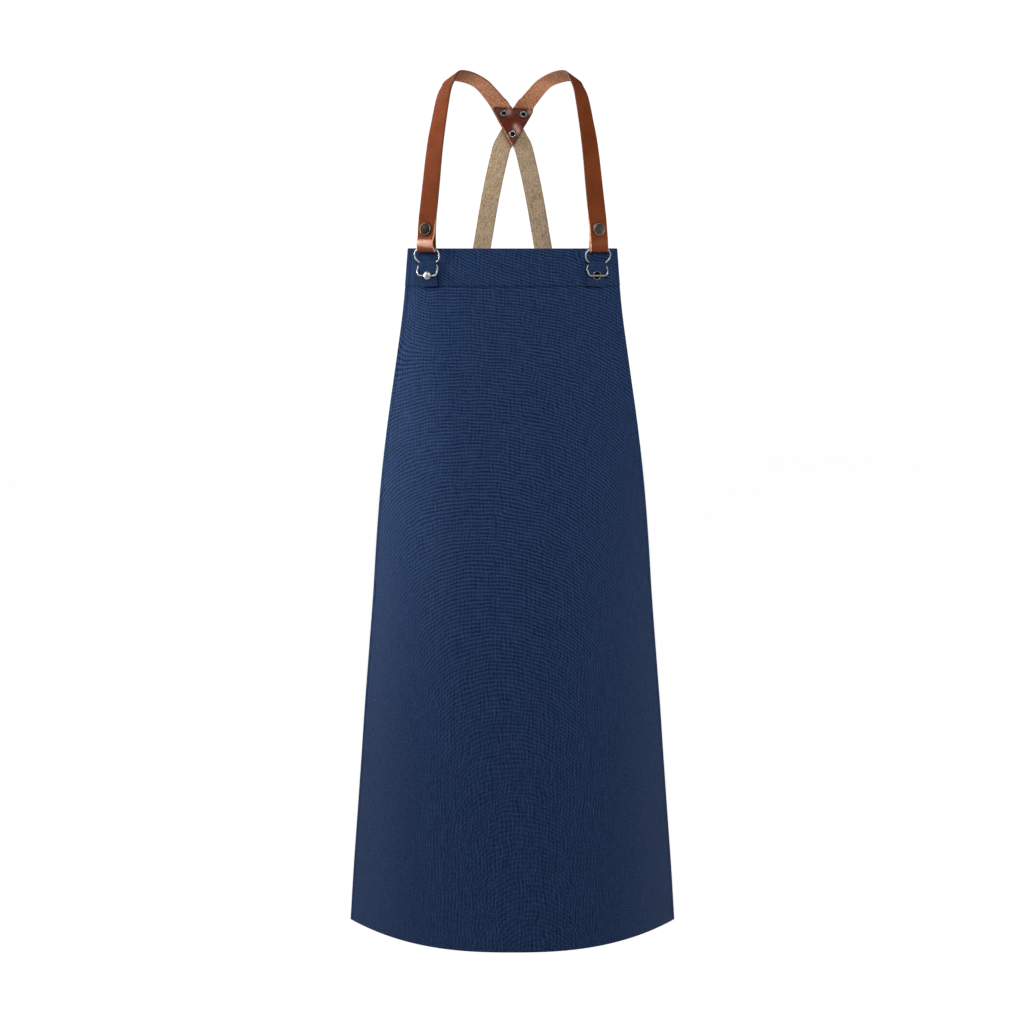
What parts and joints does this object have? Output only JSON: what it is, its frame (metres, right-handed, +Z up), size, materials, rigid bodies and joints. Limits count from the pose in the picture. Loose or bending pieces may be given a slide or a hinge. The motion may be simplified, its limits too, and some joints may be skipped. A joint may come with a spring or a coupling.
{
  "type": "chef apron",
  "caption": "Bib apron of heavy canvas in its worn form: leather shoulder straps buckle to the bib, cross at the back under a riveted patch and run on as webbing to the sides.",
  "frame": {"origin": "midway between the two shoulder crowns, at the height where the straps' undersides rest on the shoulders", "axes": "+Z up, -Y the way the wearer faces, +X to the right in the picture, which is the wearer's left"},
  "size_m": [0.4288, 0.2467, 1.1108],
  "materials": {
    "canvas": "navy woven cotton canvas",
    "leather": "brown grain leather",
    "patch_leather": "dark red-brown leather",
    "webbing": "beige twill webbing",
    "bright_metal": "bright plated steel",
    "snap_metal": "antique dark metal",
    "rivet_metal": "grey metal"
  },
  "bodies": {
    "root": {"apron_panel": "canvas", "tab_left": "canvas", "buckle_left": "bright_metal", "button_left": "bright_metal", "strap_left": "leather", "snap_left": "snap_metal", "webbing_left": "webbing", "tab_right": "canvas", "buckle_right": "bright_metal", "button_right": "bright_metal", "strap_right": "leather", "snap_right": "snap_metal", "webbing_right": "webbing", "back_patch": "patch_leather", "rivet_upper_left": "rivet_metal", "rivet_upper_right": "rivet_metal", "rivet_lower": "rivet_metal"}
  },
  "joints": []
}
